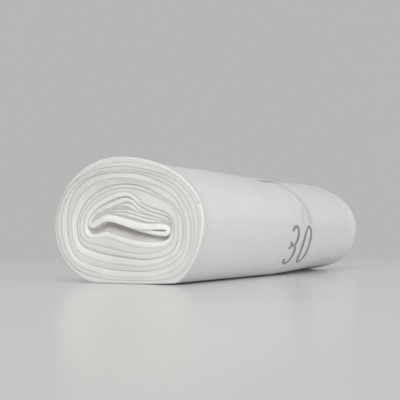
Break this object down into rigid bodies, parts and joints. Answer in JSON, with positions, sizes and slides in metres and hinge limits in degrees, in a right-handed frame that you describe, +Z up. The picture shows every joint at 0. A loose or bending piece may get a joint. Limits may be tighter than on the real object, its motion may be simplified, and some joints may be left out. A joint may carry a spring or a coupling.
{
  "type": "bin bag roll",
  "caption": "Coreless roll of folded film bin bags lying on its side: oval spiral winding, folded heart, flat resting spot and a free tail along one flank.",
  "frame": {"origin": "middle of the roll's length and width, on the plane it rests on", "axes": "+Y along the roll's axis away from the seen end, +Z up through the crown, +X towards the flank with the free tail"},
  "size_m": [0.087, 0.252, 0.064],
  "materials": {
    "film": "satin translucent white polythene film"
  },
  "bodies": {
    "root": {"bag_roll": "film"}
  },
  "joints": []
}
